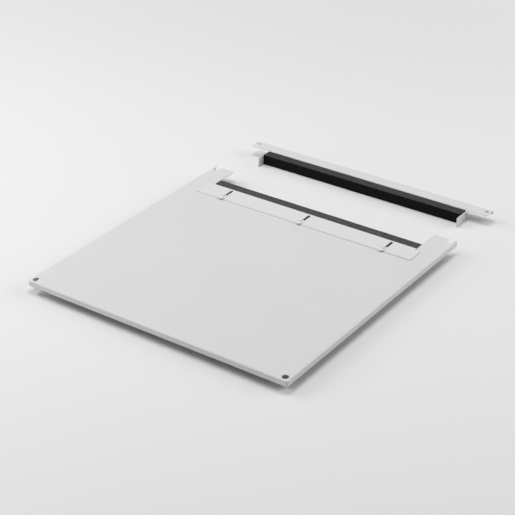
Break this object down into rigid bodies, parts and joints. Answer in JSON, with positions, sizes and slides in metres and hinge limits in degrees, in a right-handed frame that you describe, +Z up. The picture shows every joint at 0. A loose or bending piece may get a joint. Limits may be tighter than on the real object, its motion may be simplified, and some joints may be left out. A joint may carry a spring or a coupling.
{
  "type": "enclosure roof plate",
  "caption": "Folded steel roof plate for an enclosure, whose sliding plate and detached rear rail close on cables between facing foam strips.",
  "frame": {"origin": "middle of the main plate's underside, the face that lies on the enclosure's frame", "axes": "+X to the right seen from the front, +Y to the rear, towards the cable entry, +Z up"},
  "size_m": [0.6, 0.7587, 0.0319],
  "materials": {
    "powder_coat": "light grey, finely textured powder coat",
    "foam": "matt, near-black cellular foam",
    "zinc": "bright zinc plate"
  },
  "bodies": {
    "roof_plate": {"main_plate": "powder_coat", "frame_gasket": "foam", "clamp_screw_left": "zinc", "clamp_screw_centre": "zinc", "clamp_screw_right": "zinc", "clamp_washer_left": "zinc", "clamp_washer_centre": "zinc", "clamp_washer_right": "zinc", "clamp_nut_left": "zinc", "clamp_nut_centre": "zinc", "clamp_nut_right": "zinc"},
    "sliding_plate": {"sliding_plate": "powder_coat", "sliding_plate_foam": "foam"},
    "rear_rail": {"rear_rail": "powder_coat", "rear_rail_foam": "foam"}
  },
  "joints": [
    {"name": "slide_open", "type": "slide", "parent": "roof_plate", "child": "sliding_plate", "axis": [0, -1, 0], "range_m": [0, 0.0212]},
    {"name": "rail_fit", "type": "slide", "parent": "roof_plate", "child": "rear_rail", "axis": [0, -1, 0], "range_m": [0, 0.157]}
  ]
}
